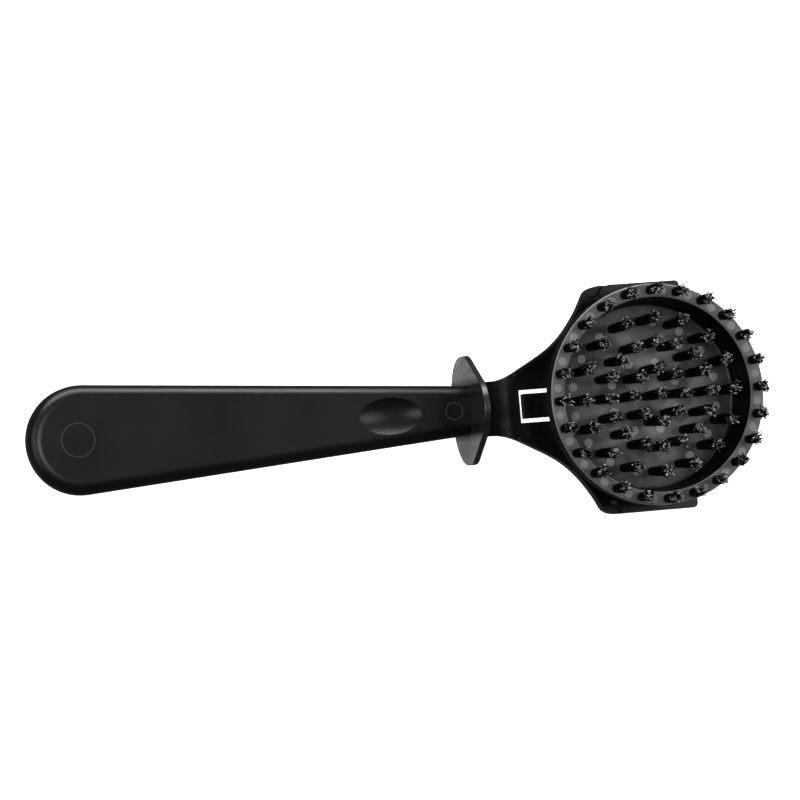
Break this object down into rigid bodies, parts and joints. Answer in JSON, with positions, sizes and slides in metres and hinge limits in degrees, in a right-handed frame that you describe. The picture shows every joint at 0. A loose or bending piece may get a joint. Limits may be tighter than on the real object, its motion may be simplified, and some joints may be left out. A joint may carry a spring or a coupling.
{
  "type": "wheel brush",
  "caption": "Hand brush with a tapered grip, hand guard and a slide-in round cup head set with stiff tufts, released by a spring tongue.",
  "frame": {"origin": "on the carrier's back face, on the axis of the round head", "axes": "+X along the brush from the grip to the head, +Z out of the bristle side, +Y across"},
  "size_m": [0.2664, 0.0836, 0.0515],
  "materials": {
    "satin_grip": "satin moulded polypropylene, black",
    "gloss_moulding": "glossy moulded polypropylene, black",
    "block_moulding": "semi-gloss moulded polypropylene, black",
    "filament": "crimped polypropylene filament, black",
    "anchor_wire": "flat galvanised steel wire",
    "screw_steel": "zinc-plated steel"
  },
  "bodies": {
    "grip": {"handle_front_shell": "satin_grip", "handle_back_shell": "satin_grip", "end_screw": "screw_steel", "tang_screw": "screw_steel", "hand_guard": "gloss_moulding", "head_carrier": "gloss_moulding"},
    "tongue": {"release_tongue": "gloss_moulding"},
    "brush_head": {"brush_block": "block_moulding", "rim_tufts": "filament", "outer_tufts": "filament", "middle_tufts": "filament", "inner_tufts": "filament", "centre_tuft": "filament", "rim_anchors": "anchor_wire", "outer_anchors": "anchor_wire", "middle_anchors": "anchor_wire", "inner_anchors": "anchor_wire", "centre_anchor": "anchor_wire"}
  },
  "joints": [
    {"name": "head_release", "type": "slide", "parent": "grip", "child": "brush_head", "axis": [1, 0, 0], "range_m": [0, 0.048]},
    {"name": "tongue_press", "type": "hinge", "parent": "grip", "child": "tongue", "pos_m": [-0.012, 0, 0.00185], "axis": [0, -1, 0], "range_deg": [0, 5], "stiffness_Nm_per_rad": 3.7}
  ]
}
